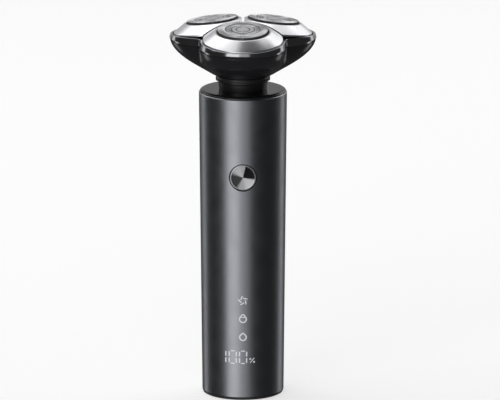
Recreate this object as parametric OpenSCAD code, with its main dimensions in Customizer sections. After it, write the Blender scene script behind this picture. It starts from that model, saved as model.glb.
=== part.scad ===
// Cordless rotary shaver: a tapered round handle, a swivelling head on a
// gimbal, and a lift-off blade unit with three sprung, tilting cutters.

/* [Handle] */
// Height of the handle from its base to the top rim
handle_h = 127; // [125:1:129]
// Diameter of the handle at the top rim
top_d = 36.2; // [36:0.1:36.8]
// Diameter of the handle at the base
base_d = 33.5; // [33.4:0.1:34]
// Thickness of the handle's wall
wall = 1.5; // [1.3:0.1:1.5]
// Height of the black base cap that shows under the handle's tube
base_band = 1; // [0.8:0.1:1.2]

/* [Power button] */
// Height of the button's centre above the base
button_z = 94.3; // [91.3:0.5:95.3]
// Diameter of the button
button_d = 10.8; // [10:0.1:11]
// Travel of the button when it is pressed
button_travel = 0.6; // [0.4:0.1:0.6]

/* [Display] */
// Height of the charge digits' centre above the base
digits_z = 18.4; // [17:0.2:18.8]
// Height of the charge digits
digits_h = 5.8; // [5.4:0.1:6]
// Height of the drop symbol's centre above the base
drop_z = 27.3; // [26.5:0.1:28]
// Height of the padlock symbol's centre above the base
lock_z = 35; // [34.4:0.1:35.5]
// Height of the pinwheel symbol's centre above the base
fan_z = 42.4; // [41.8:0.1:43]

/* [Neck] */
// Height of the head's tilt pivot above the handle's rim
pivot_z = 11; // [11:0.05:11.1]
// Outer radius of the head's swivel ball
ball_r = 11.3; // [11.2:0.05:11.3]
// Radius of the pins in the gimbal
gimbal_pin_r = 0.6; // [0.5:0.05:0.6]

/* [Head] */
// Distance of each cutter's centre from the head's axis
petal_reach = 14.5; // [14.5:0.02:14.6]
// Height of each guard's face above the handle's rim
petal_z = 28; // [28:0.05:28.3]
// Outward lean of each cutter
petal_lean = 7.5; // [7.25:0.25:8]
// Radius of each guard cap
cap_r = 10.5; // [10.45:0.05:10.55]
// Outer radius of each bezel
bezel_r = 16.4; // [16:0.1:16.4]
// Number of slots around each guard cap
guard_slots = 36; // [24:2:48]
// Number of blades on each inner cutter
blade_count = 15; // [9:1:15]

/* [Gears] */
// Module of the gear train
gear_module = 0.7; // [0.7]
// Teeth on the centre gear
sun_teeth = 18; // [18]
// Teeth on each spindle gear
planet_teeth = 22; // [22]
// Play between meshing teeth, taken off each tooth's thickness
backlash = 0.14; // [0.12:0.01:0.18]

/* [Hidden] */

$fn = 96;
eps = 0.05;
front = 270;
right = 30;
left = 150;
lobes = [front, right, left];
valleys = [90, 210, 330];

// Handle
top_r = top_d / 2;
foot_r = base_d / 2;
button_r = button_d / 2;
button_bore_r = button_r + 0.35;
button_face_y = 17.6;
button_t = 1.3;
switch_t = 1.1;
mark_depth = 0.3;
stroke = 0.52;
chassis_r = 14.8;
chassis_wall = 1.2;
chassis_z = 8;
chassis_h = 74;
board_y = -11.6;
board_t = 1;
board_w = 18.6;
battery_r = 9;
battery_z = 18;
battery_h = 50;
battery_y = 1.5;
motor_r = 10.2;
motor_z = 86;
motor_h = 23;
motor_top = motor_z + motor_h;
shaft_r = 1;
port_w = 8.94;
port_t = 3.26;

// Neck and gimbal
socket_r = ball_r + 0.3;
ball_in_r = ball_r - 1.4;
post_r = 5.4;
post_bore_r = 3.9;
post_top = pivot_z + 0.95;
gimbal_in_r = 6.2;
gimbal_out_r = 7.8;
gimbal_half_h = 1.1;
pin_bore_r = gimbal_pin_r + 0.04;

// Bowl of the head: three lobes that grow out of the neck
bowl_foot_z = 7.75;
bowl_start_z = 8;
bowl_full_z = 21.5;
bowl_top_z = 20.2;
bowl_foot_r = 11.7;
lobe_reach = 14.6;
lobe_r = 17.4;
bowl_wall = 1.4;
blend = 10;
bowl_power = 2.1;
around = 84;

// Gear train
floor_z = 12.8;
floor_t = 0.6;
gear_z = 13.6;
gear_t = 2.3;
cover_z = 16.4;
cover_t = 0.8;
spindle_reach = gear_module * (sun_teeth + planet_teeth) / 2;
axle_r = 1;
hub_hex_r = 2.2;
pin_r = 2.9;
pin_foot_z = 17.6;
pin_top_z = 22.5;
tongue_l = 3.4;
tongue_w = 1.3;
tongue_top_z = 25;

// Cutters, in each cutter's own leaning frame
hinge_z = -5.2;
trunnion_r = 0.9;
holder_in_r = 11.4;
holder_out_r = 12.6;
gap_half = 0.55;
opening_r = 13;
hinge_plate_z = 20.4;
rim_low_z = 22.3;
rim_rise = 1.5;

// Radius of the handle's outside at height z
function tube_r(z) = foot_r + (top_r - foot_r) * z / handle_h;
// How far the bowl has grown, from 0 at the neck to 1 at its widest
function grow(z) = 1 - pow(1 - min(1, max(0, (z - bowl_foot_z) / (bowl_full_z - bowl_foot_z))), bowl_power);
function lobe_shift(z) = lobe_reach * grow(z);
function lobe_size(z) = bowl_foot_r + (lobe_r - bowl_foot_r) * grow(z);
function one_lobe(d, reach, r) = reach * cos(d) + sqrt(r * r - pow(reach * sin(d), 2));
// Radius of the three-lobed outline at azimuth a, with softened valleys
function trefoil(a, reach, r) =
    pow(pow(one_lobe(a - front, reach, r), blend) + pow(one_lobe(a - right, reach, r), blend)
        + pow(one_lobe(a - left, reach, r), blend), 1 / blend);
function bowl_ring(z) = [
    for (i = [0 : around - 1])
        let (a = i * 360 / around, r = trefoil(a, lobe_shift(z), lobe_size(z)))
            [r * cos(a), r * sin(a), z]
];
// Inside of the bowl, which also stays clear of the swivel ball
function lining_ring(z) = [
    for (i = [0 : around - 1])
        let (
            a = i * 360 / around,
            ball_here = sqrt(max(0, pow(ball_r + 0.08, 2) - pow(z - pivot_z, 2))),
            r = max(ball_here, trefoil(a, lobe_shift(z), lobe_size(z) - bowl_wall))
        ) [r * cos(a), r * sin(a), z]
];
// Height of the blade frame's rim: low at each lobe and high at each valley
function rim_z(a) = rim_low_z + rim_rise * (1 - cos(3 * (a - front))) / 2;
// One ring of the blade frame at height z, or along its rim where z is negative
function frame_ring(z, swell) = [
    for (i = [0 : around - 1])
        let (a = i * 360 / around, r = trefoil(a, lobe_shift(bowl_top_z), lobe_size(bowl_top_z) + swell))
            [r * cos(a), r * sin(a), z < 0 ? rim_z(a) : z]
];
function involute(a) = tan(a) * 180 / PI - a;
function half_tooth(r, base_r, teeth) =
    90 / teeth - backlash / 2 / (gear_module * teeth / 2) * 180 / PI
    + involute(20) - (r > base_r ? involute(acos(base_r / r)) : 0);

// Hollow shell skinned over a closed loop of equal rings, up the outside and down the inside
module shell(rings) {
    n = len(rings[0]);
    m = len(rings);
    sides = [
        for (j = [0 : m - 1], i = [0 : n - 1])
            let (low = j * n, high = (j + 1) % m * n, next = (i + 1) % n)
                each [[low + i, high + i, high + next], [low + i, high + next, low + next]]
    ];
    polyhedron([for (ring = rings) each ring], sides, convexity = 6);
}

module gear_outline(teeth) {
    pitch_r = gear_module * teeth / 2;
    base_r = pitch_r * cos(20);
    root_r = pitch_r - 1.25 * gear_module;
    tip_r = pitch_r + gear_module;
    radii = [root_r, base_r, base_r + 0.3, pitch_r, (pitch_r + tip_r) / 2, tip_r];
    flank = len(radii);
    polygon([
        for (i = [0 : teeth - 1], k = [0 : 2 * flank - 1])
            let (
                rising = k < flank,
                r = rising ? radii[k] : radii[2 * flank - 1 - k],
                a = i * 360 / teeth + (rising ? -1 : 1) * half_tooth(r, base_r, teeth)
            ) [r * cos(a), r * sin(a)]
    ]);
}

module on_rim() {
    translate([0, 0, handle_h]) children();
}

module on_pivot() {
    on_rim() translate([0, 0, pivot_z]) children();
}

// Leaning frame of the cutter at azimuth a: x points outward, z out of the guard
module on_petal(a) {
    on_rim() rotate(a) translate([petal_reach, 0, petal_z]) rotate([0, petal_lean, 0]) children();
}

module on_spindle(a) {
    on_rim() rotate(a) translate([spindle_reach, 0, 0]) children();
}

module ring(outer, inner, h) {
    difference() {
        cylinder(r = outer, h = h);
        translate([0, 0, -1]) cylinder(r = inner, h = h + 2);
    }
}

// Plan shape of the plates inside the bowl, clear of its wall at height z
module bowl_plate(z, t) {
    translate([0, 0, z]) linear_extrude(t)
        union() {
            circle(r = lobe_size(z) - bowl_wall - 0.2);
            for (a = lobes)
                rotate(a) translate([lobe_shift(z), 0]) circle(r = lobe_size(z) - bowl_wall - 0.2);
        }
}

/* ---- Display symbols ---- */

// Five thin blades that lean the same way round an open centre
module fan_mark(extra) {
    for (i = [0 : 4])
        rotate(90 + i * 72) translate([1.12, 0.37]) rotate(66) segment(0, 0, 0.45, 1.8, extra);
}

// Round padlock whose shackle is a smaller ring on top
module lock_mark(extra) {
    difference() {
        union() {
            translate([0, -0.4]) circle(r = 1.66 + extra, $fn = 48);
            translate([0, 0.85]) circle(r = 0.92 + extra, $fn = 32);
        }
        difference() {
            translate([0, -0.4]) circle(r = 1.1 - extra, $fn = 48);
            translate([-1, 0.15 - extra]) square([2, 1]);
        }
        translate([0, 0.87]) circle(r = 0.4 - extra, $fn = 24);
    }
}

// The straight sides leave the circle at 48 degrees, where they are tangent to it
module drop_shape(r) {
    polygon([for (t = [48 : -12 : -228]) [r * cos(t), r * sin(t)], [0, 1.35 * r]]);
}

module drop_mark(extra) {
    translate([0, -0.4]) difference() {
        drop_shape(1.62 + extra);
        drop_shape(1.06 - extra);
    }
}

module segment(x, y, w, h, extra) {
    translate([x - w / 2 - extra, y - h / 2 - extra]) square([w + 2 * extra, h + 2 * extra]);
}

module upright_pair(x, extra) {
    bar = digits_h / 2 - 0.9;
    for (side = [-1, 1])
        segment(x, side * (bar / 2 + 0.35), stroke, bar, extra);
}

module zero_mark(x, extra) {
    for (side = [-1, 1]) {
        upright_pair(x + side * 1.45, extra);
        segment(x, side * (digits_h - stroke) / 2, 1.7, stroke - 0.08, extra);
    }
}

module percent_mark(extra) {
    for (side = [-1, 1])
        translate([side * 0.78, -side * 0.65]) circle(r = 0.4 + extra, $fn = 24);
    rotate(-40) segment(0, 0, 0.35, 2.6, extra);
}

// All the lit marks as flat shapes: x across the handle and y up it
module display_marks(extra) {
    translate([0, fan_z]) fan_mark(extra);
    translate([0, lock_z]) lock_mark(extra);
    translate([0, drop_z]) drop_mark(extra);
    translate([0, digits_z]) {
        upright_pair(-7.05, extra);
        zero_mark(-4.2, extra);
        zero_mark(0.05, extra);
        translate([3.8, -digits_h / 2 + 1.5]) percent_mark(extra);
    }
}

module marks_prism(extra) {
    rotate([90, 0, 0]) linear_extrude(top_r + 1) display_marks(extra);
}

/* ---- Handle ---- */

module tube_cone(inset) {
    cylinder(r1 = foot_r - inset, r2 = top_r - inset, h = handle_h);
}

module body_tube() {
    chamfer = 0.35;
    foot_z = base_band + eps;
    color("dimgray") difference() {
        rotate_extrude() polygon([
            [tube_r(foot_z) - wall, foot_z], [tube_r(foot_z), foot_z],
            [tube_r(handle_h - chamfer), handle_h - chamfer], [top_r - chamfer, handle_h], [top_r - wall, handle_h]
        ]);
        translate([0, 0, button_z]) rotate([90, 0, 0]) cylinder(r = button_bore_r, h = top_r + 1);
        intersection() {
            marks_prism(0.03);
            difference() {
                tube_cone(-1);
                tube_cone(mark_depth);
            }
        }
    }
}

module display_symbols() {
    color("lightgray") intersection() {
        marks_prism(0);
        difference() {
            tube_cone(0.01);
            tube_cone(mark_depth - 0.02);
        }
    }
}

module top_deck() {
    flange_r = top_r - 0.35;
    spigot_r = top_r - wall - 0.1;
    color([0.03, 0.03, 0.03]) on_rim() rotate_extrude()
        polygon([
            [9.5, -1], [9.5, 1.05], [14, 1.05], [16.2, 1], [17, 0.85], [17.45, 0.65],
            [flange_r - 0.08, 0.4], [flange_r, 0.15], [flange_r, 0],
            [spigot_r, 0], [spigot_r - 0.05, -3], [spigot_r - 1.3, -3], [spigot_r - 1.3, -1]
        ]);
}

module port_outline(grow_by) {
    r = port_t / 2 + grow_by;
    reach = port_w / 2 - port_t / 2;
    for (side = [-1, 1])
        translate([side * reach, 0]) circle(r = r, $fn = 48);
    square([2 * reach, 2 * r], center = true);
}

module base_cap() {
    spigot_r = foot_r - wall - 0.15;
    spigot_wall = 2;
    color([0.05, 0.05, 0.05]) difference() {
        union() {
            rotate_extrude() polygon([
                [0, 0], [foot_r - 1, 0], [foot_r - 0.35, 0.35], [foot_r - 0.1, base_band], [0, base_band]
            ]);
            cylinder(r = spigot_r, h = 4);
        }
        translate([0, 0, base_band + 1]) cylinder(r = spigot_r - spigot_wall, h = 4);
        translate([0, 0, 2.2]) ring(foot_r, spigot_r - 0.5, 1);
        translate([0, 0, -1]) linear_extrude(8) port_outline(0.05);
    }
}

module base_seal() {
    color([0.1, 0.1, 0.1]) translate([0, 0, 2.3]) ring(foot_r - wall - 0.04, foot_r - wall - 0.62, 0.8);
}

module charge_socket() {
    shell = 0.3;
    color("silver") {
        translate([0, 0, 0.3]) linear_extrude(7) difference() {
            port_outline(0);
            port_outline(-shell);
        }
        translate([0, 0, 6.3]) linear_extrude(0.9) port_outline(-shell - eps);
        translate([-3.2, -0.35, 1]) cube([6.4, 0.7, 5.25]);
    }
}

module half_shell(side) {
    intersection() {
        translate([0, 0, chassis_z]) ring(chassis_r, chassis_r - chassis_wall, chassis_h);
        translate([-20, side > 0 ? 0.1 : -10.1, 0]) cube([40, side > 0 ? 20 : 10, handle_h]);
    }
}

module battery_saddle(z) {
    translate([0, 0, z]) intersection() {
        difference() {
            cylinder(r = chassis_r - 0.5, h = 1.4);
            translate([0, battery_y, -1]) cylinder(r = battery_r + 0.15, h = 4);
        }
        translate([-20, 0.1, -1]) cube([40, 20, 4]);
    }
}

module chassis_rear() {
    color("gainsboro") {
        half_shell(1);
        for (z = [battery_z + 4, battery_z + battery_h / 2, battery_z + battery_h - 6])
            battery_saddle(z);
    }
}

module chassis_front() {
    rib_w = 3.6;
    color("gainsboro") {
        half_shell(-1);
        intersection() {
            cylinder(r = chassis_r - 0.2, h = handle_h);
            for (z = [chassis_z + 2, chassis_z + chassis_h - 3], side = [-1, 1])
                translate([side > 0 ? 10 : -10 - rib_w, -8.6, z]) cube([rib_w, 8.5, 1.2]);
        }
    }
}

module main_board() {
    chip = 5;
    color("darkgreen") translate([-board_w / 2, board_y, chassis_z]) cube([board_w, board_t, 90]);
    color([0.1, 0.1, 0.1]) for (z = [56, 66, 78])
        translate([-chip / 2, board_y - 0.9, z]) cube([chip, 0.9, chip]);
}

module led_block(x, z) {
    translate([x - 0.8, board_y - 0.7, z - 0.8]) cube([1.6, 0.7, 1.6]);
}

module display_leds() {
    color("white") {
        for (z = [fan_z, lock_z, drop_z])
            led_block(0, z);
        for (x = [-6, -2, 2, 6])
            led_block(x, digits_z);
    }
}

module light_guide() {
    pocket = 0.1;
    color("white") difference() {
        intersection() {
            translate([0, 0, 12]) cylinder(r = foot_r - wall - 0.1, h = 33);
            translate([-8, -17, 12]) cube([16, 17 + board_y - 0.8, 33]);
        }
        translate([-9, board_y - 0.8 - pocket, 21.4]) cube([18, 1, 0.6]);
    }
}

module tact_switch() {
    case_t = 0.8;
    color("silver") translate([-3, board_y - case_t, button_z - 3]) cube([6, case_t, 6]);
    color("black") translate([0, board_y - case_t, button_z]) rotate([90, 0, 0])
        cylinder(r = 1.6, h = switch_t - case_t);
}

module button_boot() {
    color([0.1, 0.1, 0.1]) translate([0, -14.2, button_z]) rotate([90, 0, 0]) {
        ring(button_bore_r + 0.6, 1.4, 0.5);
        ring(button_bore_r - 0.08, button_r - 0.9, 0.9);
    }
}

module button_cap() {
    color("silver") translate([0, 0, button_z]) rotate([90, 0, 0]) translate([0, 0, button_face_y - button_t])
        rotate_extrude() polygon([
            [0, 0], [button_r, 0], [button_r, button_t - 0.2], [button_r - 0.3, button_t], [4.6, button_t],
            [0, button_t - 0.2]
        ]);
}

module button_stem() {
    foot_y = board_y - switch_t - button_travel - eps;
    color("white") translate([0, foot_y, button_z]) rotate([90, 0, 0])
        cylinder(r = 1.2, h = button_face_y - button_t + foot_y - 0.01);
}

module battery_cell() {
    nub_h = 0.5;
    color("steelblue") translate([0, battery_y, battery_z]) {
        cylinder(r = battery_r, h = battery_h);
        cylinder(r = 3, h = battery_h + nub_h);
    }
}

module battery_tabs() {
    tab_w = 5;
    tab_t = 0.3;
    tab_y = board_y + board_t;
    color("silver") {
        translate([-tab_w / 2, tab_y, battery_z - tab_t]) cube([tab_w, battery_y + 4 - tab_y, tab_t]);
        translate([-tab_w / 2, tab_y, battery_z + battery_h + 0.5]) cube([tab_w, battery_y + 3 - tab_y, tab_t]);
    }
}

module motor_can() {
    can_wall = 1;
    color("silver") translate([0, 0, motor_z]) difference() {
        cylinder(r = motor_r, h = motor_h);
        translate([0, 0, -1]) cylinder(r = motor_r - can_wall, h = motor_h);
        cylinder(r = shaft_r + 0.05, h = motor_h + 1);
    }
}

module motor_end_cap() {
    color([0.15, 0.15, 0.15]) translate([0, 0, motor_z - 1.5]) ring(motor_r, shaft_r + 0.05, 1.5);
    color("silver") for (side = [-1, 1])
        translate([side * 6 - 0.4, -1.2, motor_z - 4]) cube([0.8, 2.4, 2.5]);
}

module motor_magnets() {
    color([0.2, 0.2, 0.2]) translate([0, 0, motor_z + 2.5]) intersection() {
        ring(motor_r - 1.05, 7.5, 17);
        union() for (side = [-1, 1])
            translate([side > 0 ? 1.5 : -21.5, -20, 0]) cube([20, 40, 17]);
    }
}

module motor_mount() {
    color("gainsboro") difference() {
        translate([0, 0, motor_top]) cylinder(r = tube_r(motor_top) - wall - 0.15, h = 3);
        translate([0, 0, motor_top - 1]) cylinder(r = 3, h = 5);
        for (a = [0, 120, 240])
            rotate(a + 90) translate([7.5, 0, motor_top - 1]) cylinder(r = 1.05, h = 5);
    }
}

module motor_screws() {
    color("silver") for (a = [0, 120, 240])
        rotate(a + 90) translate([7.5, 0, motor_top]) {
            cylinder(r = 1, h = 3.1);
            translate([0, 0, 3.02]) difference() {
                cylinder(r = 1.9, h = 1.1);
                translate([0, 0, 0.6]) cylinder(r = 0.8, h = 1, $fn = 6);
            }
        }
}

module shaft_seal() {
    color([0.1, 0.1, 0.1]) on_rim() translate([0, 0, -0.6]) ring(post_bore_r - 0.03, shaft_r + 0.03, 1.6);
}

/* ---- Motor's turning parts ---- */

module motor_shaft() {
    color("silver") translate([0, 0, motor_z - 1.5]) cylinder(r = shaft_r, h = 34);
}

module armature_core() {
    slots = 5;
    color("orange") translate([0, 0, motor_z + 4]) difference() {
        ring(7, shaft_r, 14);
        for (i = [0 : slots - 1])
            rotate(i * 360 / slots) translate([4, -0.7, -1]) cube([4, 1.4, 16]);
    }
}

module commutator() {
    color("orange") translate([0, 0, motor_z + 0.6]) ring(2.8, shaft_r, 2.8);
}

module drive_coupling() {
    sleeve_z = motor_z + 28;
    color("silver") {
        translate([0, 0, sleeve_z]) difference() {
            cylinder(r = 2, h = 7);
            translate([0, 0, -1]) cylinder(r = shaft_r, h = 5.5 + 1);
        }
        translate([0, 0, sleeve_z + 6.5]) cylinder(r = shaft_r, h = handle_h + pivot_z - sleeve_z - 6.5);
        on_pivot() {
            sphere(r = 1.3);
            rotate([0, 90, 0]) cylinder(r = 0.5, h = 4.4, center = true);
        }
    }
}

/* ---- Neck and gimbal ---- */

module neck_base() {
    color([0.03, 0.03, 0.03]) on_rim() {
        difference() {
            union() {
                translate([0, 0, -1.2]) cylinder(r = 9.4, h = 3);
                translate([0, 0, 1.1]) cylinder(r1 = 9.8, r2 = 10.2, h = 3.15);
                translate([0, 0, 4.2]) cylinder(r1 = 10.2, r2 = 11.1, h = 0.8);
                translate([0, 0, 4.95]) cylinder(r = 11.2, h = 0.45);
            }
            translate([0, 0, pivot_z]) sphere(r = socket_r);
            translate([0, 0, -2]) cylinder(r = post_bore_r, h = 5);
        }
        difference() {
            translate([0, 0, -1.2]) ring(post_r, post_bore_r, post_top + 1.2);
            translate([0, 0, pivot_z]) rotate([0, 90, 0]) cylinder(r = pin_bore_r, h = 20, center = true);
        }
    }
}

module neck_seal() {
    color([0.1, 0.1, 0.1]) on_rim() translate([0, 0, 5.42]) ring(10.7, 10.3, 0.36);
}

module neck_collar() {
    color([0.03, 0.03, 0.03]) on_rim() rotate_extrude()
        polygon([[10.75, 5.85], [11.2, 5.85], [11.2, 6.1], [10.95, 6.8], [10.75, 6.8]]);
}

module gimbal_ring() {
    color("gray") on_pivot() difference() {
        translate([0, 0, -gimbal_half_h]) ring(gimbal_out_r, gimbal_in_r, 2 * gimbal_half_h);
        for (a = [0, 90])
            rotate(a) rotate([0, 90, 0]) cylinder(r = gimbal_pin_r + 0.01, h = 20, center = true);
    }
}

module gimbal_pins() {
    color("silver") on_pivot() {
        for (a = [0, 180])
            rotate(a) translate([post_bore_r + 0.15, 0, 0]) rotate([0, 90, 0])
                cylinder(r = gimbal_pin_r, h = gimbal_out_r - post_bore_r - 0.2);
        for (a = [90, 270])
            rotate(a) translate([gimbal_in_r + 0.05, 0, 0]) rotate([0, 90, 0])
                cylinder(r = gimbal_pin_r, h = 9.8 - gimbal_in_r);
    }
}

/* ---- Head ---- */

module swivel_ball() {
    mouth_r = 7.3;
    lug_w = 3;
    color([0.03, 0.03, 0.03]) difference() {
        union() {
            on_pivot() difference() {
                sphere(r = ball_r);
                sphere(r = ball_in_r);
                translate([0, 0, -20]) cylinder(r = mouth_r, h = 20);
                translate([0, 0, floor_z - pivot_z]) cylinder(r = 20, h = 20);
            }
            on_pivot() for (side = [-1, 1])
                translate([-lug_w / 2, side > 0 ? 8.2 : -10.3, -1.5])
                    cube([lug_w, 2.1, 1.5 + floor_z - pivot_z + eps]);
            on_rim() bowl_plate(floor_z, floor_t);
        }
        on_pivot() rotate([90, 0, 0]) cylinder(r = pin_bore_r, h = 19.8, center = true);
        on_pivot() cylinder(r = 3.25, h = 10);
        for (a = lobes)
            on_spindle(a) translate([0, 0, floor_z - 1]) cylinder(r = axle_r + 0.01, h = 3);
    }
}

module hair_chamber() {
    rise = bowl_top_z - bowl_start_z;
    steps = 10;
    // Levels crowd towards the foot, where the bowl flares fastest
    levels = [for (i = [0 : steps]) bowl_start_z + rise * pow(i / steps, 1.6)];
    color([0.03, 0.03, 0.03]) on_rim() shell([
        for (z = levels) bowl_ring(z),
        for (i = [steps : -1 : 0]) lining_ring(levels[i])
    ]);
}

module gear_cover() {
    post_reach = 14;
    post_z = floor_z + floor_t;
    color([0.2, 0.2, 0.2]) on_rim() {
        difference() {
            bowl_plate(cover_z, cover_t);
            for (a = lobes)
                rotate(a) translate([spindle_reach, 0, cover_z - 1]) cylinder(r = pin_r + 0.3, h = 3);
        }
        for (a = valleys)
            rotate(a) translate([post_reach, 0, post_z]) cylinder(r = 1.3, h = cover_z - post_z + eps);
    }
}

module latch_magnets() {
    color("silver") on_rim() for (a = valleys)
        rotate(a) translate([15.6, 0, cover_z + cover_t]) cylinder(r = 1.5, h = 2);
}

module gear_axles() {
    color("silver") for (a = lobes)
        on_spindle(a) translate([0, 0, floor_z]) cylinder(r = axle_r, h = 7);
}

module sun_gear() {
    cup_r = 3.2;
    cup_z = pivot_z - 1.8;
    color("ivory") on_rim() difference() {
        union() {
            translate([0, 0, gear_z]) linear_extrude(gear_t) rotate(10) gear_outline(sun_teeth);
            translate([0, 0, cup_z]) cylinder(r = cup_r, h = gear_z - cup_z + eps);
            translate([0, 0, gear_z]) cylinder(r = 2, h = gear_t + 0.35);
        }
        translate([0, 0, cup_z - 1]) cylinder(r = 1.45, h = 1 + 3.4);
        translate([-5, -0.65, cup_z - 1]) cube([10, 1.3, 1 + 2.9]);
    }
}

module spindle_gear(a) {
    hub_top = 19.9;
    color("ivory") on_spindle(a) difference() {
        union() {
            translate([0, 0, gear_z]) linear_extrude(gear_t)
                rotate(180 + 180 / planet_teeth) gear_outline(planet_teeth);
            translate([0, 0, gear_z]) cylinder(r = hub_hex_r, h = hub_top - gear_z, $fn = 6);
        }
        translate([0, 0, gear_z - 1]) cylinder(r = axle_r + 0.04, h = hub_top);
    }
}

module drive_pin(a) {
    roof_z = 21.35;
    color("gray") on_spindle(a) {
        difference() {
            translate([0, 0, pin_foot_z]) cylinder(r = pin_r, h = pin_top_z - pin_foot_z);
            translate([0, 0, pin_foot_z - 1]) cylinder(r = hub_hex_r + 0.12, h = roof_z - pin_foot_z + 1, $fn = 6);
        }
        translate([-tongue_l / 2, -tongue_w / 2, pin_top_z - eps])
            cube([tongue_l, tongue_w, tongue_top_z - pin_top_z + eps]);
    }
}

/* ---- Blade unit ---- */

// Bearing lugs for one cutter's trunnions
module hinge_ears(a) {
    ear_t = 1.6;
    ear_half = 1.5;
    ear_y = opening_r + 0.15;
    axis_x = hinge_z * sin(petal_lean) + petal_reach;
    axis_z = petal_z + hinge_z * cos(petal_lean);
    on_rim() rotate(a) for (side = [-1, 1]) mirror([0, side > 0 ? 0 : 1, 0]) difference() {
        union() {
            translate([axis_x - ear_half, ear_y, hinge_plate_z])
                cube([2 * ear_half, ear_t, axis_z - hinge_plate_z]);
            translate([axis_x, ear_y, axis_z]) rotate([-90, 0, 0]) cylinder(r = ear_half, h = ear_t);
        }
        translate([axis_x, ear_y - 1, axis_z]) rotate([-90, 0, 0])
            cylinder(r = trunnion_r + 0.05, h = ear_t + 2);
    }
}

module hinge_plate() {
    color([0.15, 0.15, 0.15]) {
        on_rim() difference() {
            bowl_plate(hinge_plate_z, 0.8);
            for (a = lobes)
                rotate(a) translate([spindle_reach, 0, hinge_plate_z - 1]) cylinder(r = opening_r, h = 3);
            translate([0, 0, hinge_plate_z - 1]) cylinder(r = 4, h = 3);
        }
        for (a = lobes)
            hinge_ears(a);
    }
}

module blade_frame() {
    foot_z = bowl_top_z + eps;
    color([0.02, 0.02, 0.02]) on_rim() shell([
        frame_ring(foot_z, 0), frame_ring(21.2, 0.3), frame_ring(-1, -0.05), frame_ring(-1, -1.05), frame_ring(foot_z, -1.3)
    ]);
}

module sector(a) {
    reach = 60;
    apex = gap_half / sin(60);
    on_rim() rotate(a) translate([apex, 0, 0]) linear_extrude(60)
        polygon([[0, 0], [reach * cos(60), -reach * sin(60)], [reach, 0], [reach * cos(60), reach * sin(60)]]);
}

module cutter_holder(a) {
    spokes = 4;
    color([0.15, 0.15, 0.15]) intersection() {
        on_petal(a) {
            translate([0, 0, -6.2]) ring(holder_out_r, holder_in_r, 4.3);
            translate([0, 0, -2.6]) ring(holder_in_r + eps, 10.3, 0.65);
            translate([0, 0, -4.6]) ring(5, 3.6, 0.7);
            for (i = [0 : spokes - 1])
                rotate(45 + i * 360 / spokes) translate([4.6, -0.6, -4.6]) cube([holder_in_r - 4.5, 1.2, 0.7]);
            for (side = [-1, 1])
                translate([0, side * 12.4, hinge_z]) rotate([side > 0 ? -90 : 90, 0, 0])
                    cylinder(r = trunnion_r, h = 2.8);
        }
        sector(a);
    }
}

module bezel(a) {
    color("silver") intersection() {
        on_petal(a) rotate_extrude()
            polygon([
                [cap_r + 0.3, -0.9], [cap_r + 0.3, 0], [11.6, 0], [bezel_r, -3.3], [bezel_r, -4], [bezel_r - 0.8, -4],
                [bezel_r - 0.8, -3.65], [13.4, -2.14], [13.4, -3.2], [12.7, -3.2], [12.7, -1.66], [11.6, -0.9]
            ]);
        sector(a);
    }
}

module guard_cap(a) {
    skin_t = 0.35;
    top_z = 0.9;
    slot_in = 7.3;
    slot_w = 0.4;
    color("whitesmoke") on_petal(a) difference() {
        rotate_extrude() polygon([
            [0, top_z - skin_t - 0.05], [2.6, top_z - skin_t - 0.05], [2.6, top_z - skin_t],
            [cap_r - skin_t, top_z - skin_t], [cap_r - skin_t, -1.9], [11.3, -1.9], [11.3, -1.05],
            [cap_r, -1.05], [cap_r, top_z - 0.2], [cap_r - 0.2, top_z], [7.2, top_z], [7, top_z - 0.12],
            [4.7, top_z - 0.12], [4.5, top_z], [2.8, top_z], [2.6, top_z - 0.1], [0, top_z - 0.1]
        ]);
        for (i = [0 : guard_slots - 1])
            rotate(i * 360 / guard_slots) translate([slot_in, -slot_w / 2, 0.1]) cube([4, slot_w, 2]);
    }
}

module inner_cutter(a) {
    blade_t = 0.5;
    color("silver") on_petal(a) difference() {
        union() {
            translate([0, 0, -4.5]) cylinder(r = 3.3, h = 4);
            translate([0, 0, -3.2]) cylinder(r = 9.6, h = 0.6);
            for (i = [0 : blade_count - 1])
                rotate(i * 360 / blade_count) translate([6.5, -blade_t / 2, -2.7]) cube([3.3, blade_t, 3.15]);
        }
        translate([-2.3, -1.2, -5.5]) cube([4.6, 2.4, 3]);
    }
}

body_tube();
top_deck();
base_cap();
base_seal();
display_symbols();
light_guide();
display_leds();
main_board();
tact_switch();
button_boot();
chassis_rear();
chassis_front();
battery_cell();
battery_tabs();
charge_socket();
motor_can();
motor_end_cap();
motor_magnets();
motor_mount();
motor_screws();
shaft_seal();
neck_base();
neck_seal();
neck_collar();
button_cap();
button_stem();
motor_shaft();
armature_core();
commutator();
drive_coupling();
gimbal_ring();
gimbal_pins();
swivel_ball();
hair_chamber();
gear_cover();
latch_magnets();
gear_axles();
sun_gear();
spindle_gear(front);  // spindle_gear_front
spindle_gear(right);  // spindle_gear_right
spindle_gear(left);  // spindle_gear_left
drive_pin(front);  // drive_pin_front
drive_pin(right);  // drive_pin_right
drive_pin(left);  // drive_pin_left
blade_frame();
hinge_plate();
cutter_holder(front);  // cutter_holder_front
cutter_holder(right);  // cutter_holder_right
cutter_holder(left);  // cutter_holder_left
bezel(front);  // bezel_front
bezel(right);  // bezel_right
bezel(left);  // bezel_left
guard_cap(front);  // guard_cap_front
guard_cap(right);  // guard_cap_right
guard_cap(left);  // guard_cap_left
inner_cutter(front);  // inner_cutter_front
inner_cutter(right);  // inner_cutter_right
inner_cutter(left);  // inner_cutter_left
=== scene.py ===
import math

import bmesh
import bpy
from mathutils import Matrix, Vector


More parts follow.
